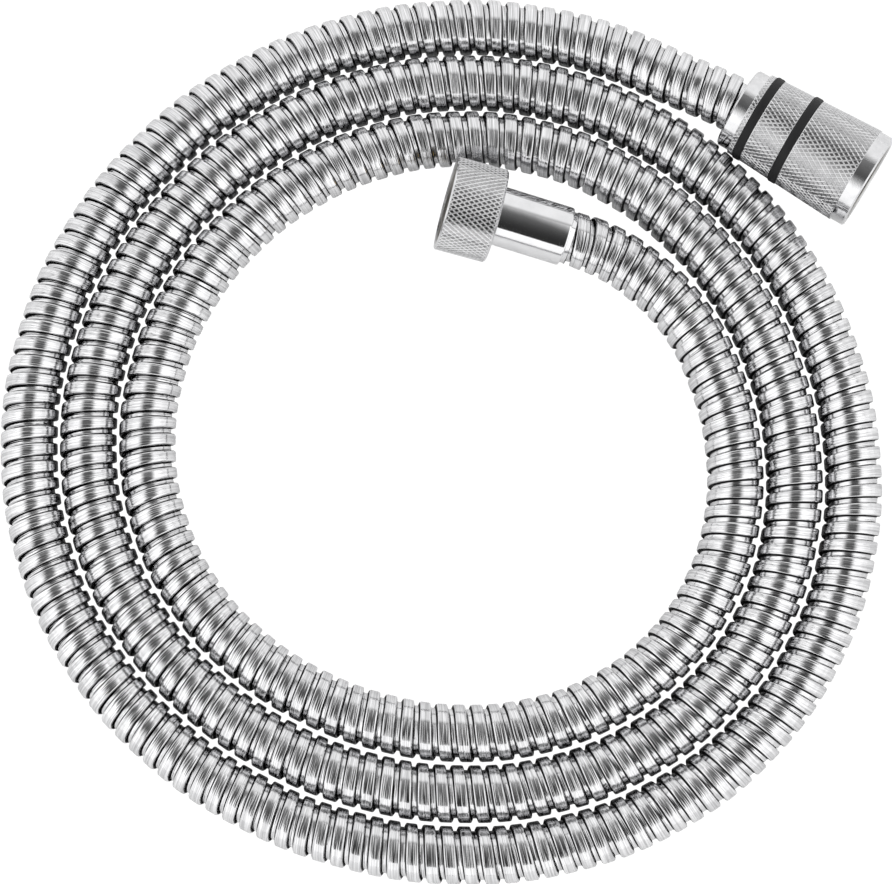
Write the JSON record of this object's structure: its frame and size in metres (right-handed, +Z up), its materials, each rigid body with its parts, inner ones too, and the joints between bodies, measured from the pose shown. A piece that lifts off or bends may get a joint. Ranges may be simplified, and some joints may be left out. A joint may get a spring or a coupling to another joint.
{
  "type": "shower hose",
  "caption": "Flexible metal shower hose lying in a flat spiral, with a knurled union nut at the inner end and a long conical knurled nut at the outer end, both turning freely.",
  "frame": {"origin": "centre of the footprint of the coiled hose, on the surface that it lies on", "axes": "+Z up, out of the plane of the coil; +Y towards the two fittings' side of the coil; +X towards the conical nut"},
  "size_m": [0.2277, 0.2275, 0.0258],
  "materials": {
    "casing_steel": "wound stainless strip, satin crown with polished shoulders",
    "nut_chrome": "bright chrome plating on brass, knurled",
    "ferrule_chrome": "bright chrome plating, polished",
    "insert_brass": "turned brass, bare",
    "o_ring_rubber": "dark grey rubber, matt",
    "washer_rubber": "black rubber, matt",
    "liner_plastic": "pale flexible plastic, matt"
  },
  "bodies": {
    "hose": {"hose_casing": "casing_steel", "hose_liner": "liner_plastic", "mixer_ferrule": "ferrule_chrome", "mixer_insert": "insert_brass", "handset_ferrule": "ferrule_chrome", "handset_insert": "insert_brass"},
    "mixer_nut": {"mixer_union_nut": "nut_chrome", "mixer_seal_washer": "washer_rubber"},
    "handset_nut": {"handset_cone_nut": "nut_chrome", "handset_o_ring_rear": "o_ring_rubber", "handset_o_ring_front": "o_ring_rubber", "handset_seal_washer": "washer_rubber"}
  },
  "joints": [
    {"name": "mixer_nut_spin", "type": "hinge", "parent": "hose", "child": "mixer_nut", "pos_m": [0.0121, 0.0547, 0.01211], "axis": [-0.9635, 0.2384, 0.1219], "continuous": true},
    {"name": "handset_nut_spin", "type": "hinge", "parent": "hose", "child": "handset_nut", "pos_m": [0.07455, 0.0839, 0.01118], "axis": [0.8461, -0.5307, 0.0501], "continuous": true}
  ]
}
